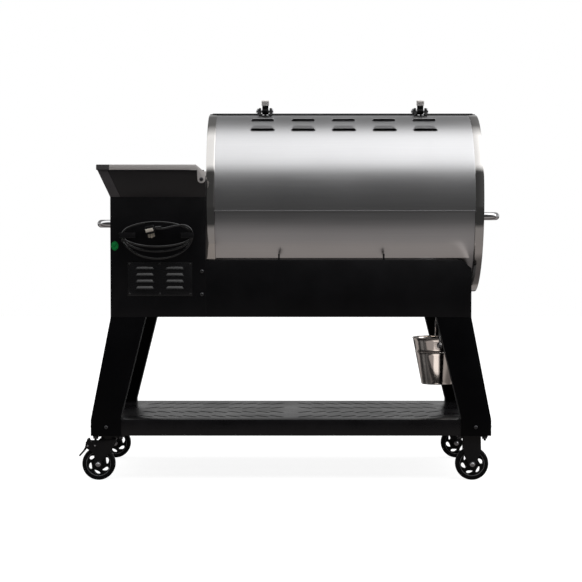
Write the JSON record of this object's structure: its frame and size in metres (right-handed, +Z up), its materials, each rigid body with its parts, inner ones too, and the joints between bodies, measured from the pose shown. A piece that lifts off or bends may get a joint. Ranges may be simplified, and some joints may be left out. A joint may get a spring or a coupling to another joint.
{
  "type": "pellet smoker grill",
  "caption": "Barrel pellet smoker grill on a wheeled cart, with a side hopper, top-hinged lid, perforated bottom shelf and a hanging grease bucket.",
  "frame": {"origin": "on the floor, under the middle of the grill's overall length and depth, casters pointing outward", "axes": "+Z up; the user stands on the -Y side, where the lid handle and the controls are; the pellet hopper is at the +X end and the barrel runs along X"},
  "size_m": [1.3121, 0.696, 1.1774],
  "materials": {
    "black_coat": "fine-textured satin black powder coat",
    "brushed_stainless": "circumferentially brushed stainless sheet",
    "polished_stainless": "polished stainless",
    "grate_enamel": "black porcelain enamel",
    "hot_steel": "high-temperature black paint",
    "plain_steel": "galvanised sheet",
    "zinc": "bright zinc plate",
    "caster_zinc": "black-passivated pressed steel",
    "caster_plastic": "moulded black polymer",
    "soft_rubber": "matt grey rubber",
    "cord_black": "flexible PVC",
    "control_plastic": "satin black moulding",
    "clear_glass": "clear flat glass",
    "needle_red": "red lacquer"
  },
  "bodies": {
    "frame": {"rear_legs": "black_coat", "front_legs": "black_coat", "bottom_shelf": "black_coat", "rear_apron": "black_coat", "front_apron": "black_coat", "saddle_panel": "black_coat", "barrel_rear_shell": "brushed_stainless", "barrel_lower_shell": "brushed_stainless", "barrel_ends": "black_coat", "end_bands": "polished_stainless", "hinge_brackets": "black_coat", "hinge_bolts": "zinc", "hopper_housing": "black_coat", "access_panel": "black_coat", "hopper_flare": "black_coat", "hopper_bin": "plain_steel", "side_handles": "polished_stainless", "cord_hooks": "black_coat", "power_cord": "cord_black", "auger_tube": "plain_steel", "auger_motor": "hot_steel", "fan_housing": "plain_steel", "fire_pot": "hot_steel", "igniter_rod": "plain_steel", "heat_deflector": "hot_steel", "grease_tray": "hot_steel", "cooking_grates": "grate_enamel", "temperature_probe": "polished_stainless", "drain_tube": "plain_steel", "bucket_hook": "zinc", "control_panel": "control_plastic", "screws": "zinc", "swivel_plates": "caster_zinc", "rigid_forks": "caster_zinc"},
    "lid": {"lid_shell": "brushed_stainless", "lid_bands": "polished_stainless", "lid_rear_rail": "black_coat", "lid_handle_bar": "polished_stainless", "lid_handle_posts": "black_coat", "hinge_arms": "black_coat", "lid_bumpers": "soft_rubber", "thermometer_case": "polished_stainless", "thermometer_lens": "clear_glass"},
    "thermometer_needle": {"thermometer_needle": "needle_red"},
    "hopper_lid": {"hopper_lid": "brushed_stainless", "hopper_lid_grip": "black_coat"},
    "auger_screw": {"auger_screw": "plain_steel"},
    "fan_impeller": {"fan_impeller": "control_plastic"},
    "control_knob": {"control_knob": "control_plastic"},
    "power_button": {"power_button": "control_plastic"},
    "bail": {"bail": "zinc"},
    "bucket": {"bucket": "brushed_stainless"},
    "swivel_rear": {"swivel_fork_rear": "caster_zinc"},
    "brake_rear": {"brake_lever_rear": "caster_plastic"},
    "wheel_swivel_rear": {"wheel_swivel_rear": "caster_plastic"},
    "wheel_fixed_rear": {"wheel_fixed_rear": "caster_plastic"},
    "swivel_front": {"swivel_fork_front": "caster_zinc"},
    "brake_front": {"brake_lever_front": "caster_plastic"},
    "wheel_swivel_front": {"wheel_swivel_front": "caster_plastic"},
    "wheel_fixed_front": {"wheel_fixed_front": "caster_plastic"}
  },
  "joints": [
    {"name": "lid_hinge", "type": "hinge", "parent": "frame", "child": "lid", "pos_m": [-0.1645, 0.03, 1.143], "axis": [-1, 0, 0], "range_deg": [0, 85]},
    {"name": "hopper_lid_hinge", "type": "hinge", "parent": "frame", "child": "hopper_lid", "pos_m": [0.27, 0, 0.92], "axis": [0, -1, 0], "range_deg": [0, 60]},
    {"name": "thermometer_turn", "type": "hinge", "parent": "lid", "child": "thermometer_needle", "pos_m": [-0.1645, -0.22419, 1.02616], "axis": [0, 0.788, -0.6157], "range_deg": [0, 270]},
    {"name": "auger_turn", "type": "hinge", "parent": "frame", "child": "auger_screw", "pos_m": [0.2, 0, 0.65], "axis": [1, 0, 0], "continuous": true},
    {"name": "fan_turn", "type": "hinge", "parent": "frame", "child": "fan_impeller", "pos_m": [0.345, 0, 0.568], "axis": [0, 1, 0], "continuous": true},
    {"name": "knob_turn", "type": "hinge", "parent": "frame", "child": "control_knob", "pos_m": [0.375, -0.292, 0.755], "axis": [0, 1, 0], "range_deg": [0, 300]},
    {"name": "power_press", "type": "slide", "parent": "frame", "child": "power_button", "axis": [0, 1, 0], "range_m": [0, 0.0025], "stiffness_N_per_m": 200},
    {"name": "bail_swing", "type": "hinge", "parent": "frame", "child": "bail", "pos_m": [-0.47, 0, 0.4955], "axis": [0, 1, 0], "range_deg": [-20, 20]},
    {"name": "bucket_swing", "type": "hinge", "parent": "bail", "child": "bucket", "pos_m": [-0.47, 0, 0.401], "axis": [0, 1, 0], "range_deg": [-25, 25]},
    {"name": "swivel_rear", "type": "hinge", "parent": "frame", "child": "swivel_rear", "pos_m": [0.56, 0.254, 0.125], "axis": [0, 0, 1], "continuous": true},
    {"name": "wheel_swivel_rear_turn", "type": "hinge", "parent": "swivel_rear", "child": "wheel_swivel_rear", "pos_m": [0.59, 0.254, 0.0508], "axis": [0, 1, 0], "continuous": true},
    {"name": "brake_rear_press", "type": "hinge", "parent": "swivel_rear", "child": "brake_rear", "pos_m": [0.6, 0.254, 0.108], "axis": [0, 1, 0], "range_deg": [0, 6]},
    {"name": "wheel_fixed_rear_turn", "type": "hinge", "parent": "frame", "child": "wheel_fixed_rear", "pos_m": [-0.555, 0.254, 0.0508], "axis": [0, 1, 0], "continuous": true},
    {"name": "swivel_front", "type": "hinge", "parent": "frame", "child": "swivel_front", "pos_m": [0.56, -0.254, 0.125], "axis": [0, 0, 1], "continuous": true},
    {"name": "wheel_swivel_front_turn", "type": "hinge", "parent": "swivel_front", "child": "wheel_swivel_front", "pos_m": [0.59, -0.254, 0.0508], "axis": [0, 1, 0], "continuous": true},
    {"name": "brake_front_press", "type": "hinge", "parent": "swivel_front", "child": "brake_front", "pos_m": [0.6, -0.254, 0.108], "axis": [0, 1, 0], "range_deg": [0, 6]},
    {"name": "wheel_fixed_front_turn", "type": "hinge", "parent": "frame", "child": "wheel_fixed_front", "pos_m": [-0.555, -0.254, 0.0508], "axis": [0, 1, 0], "continuous": true}
  ]
}
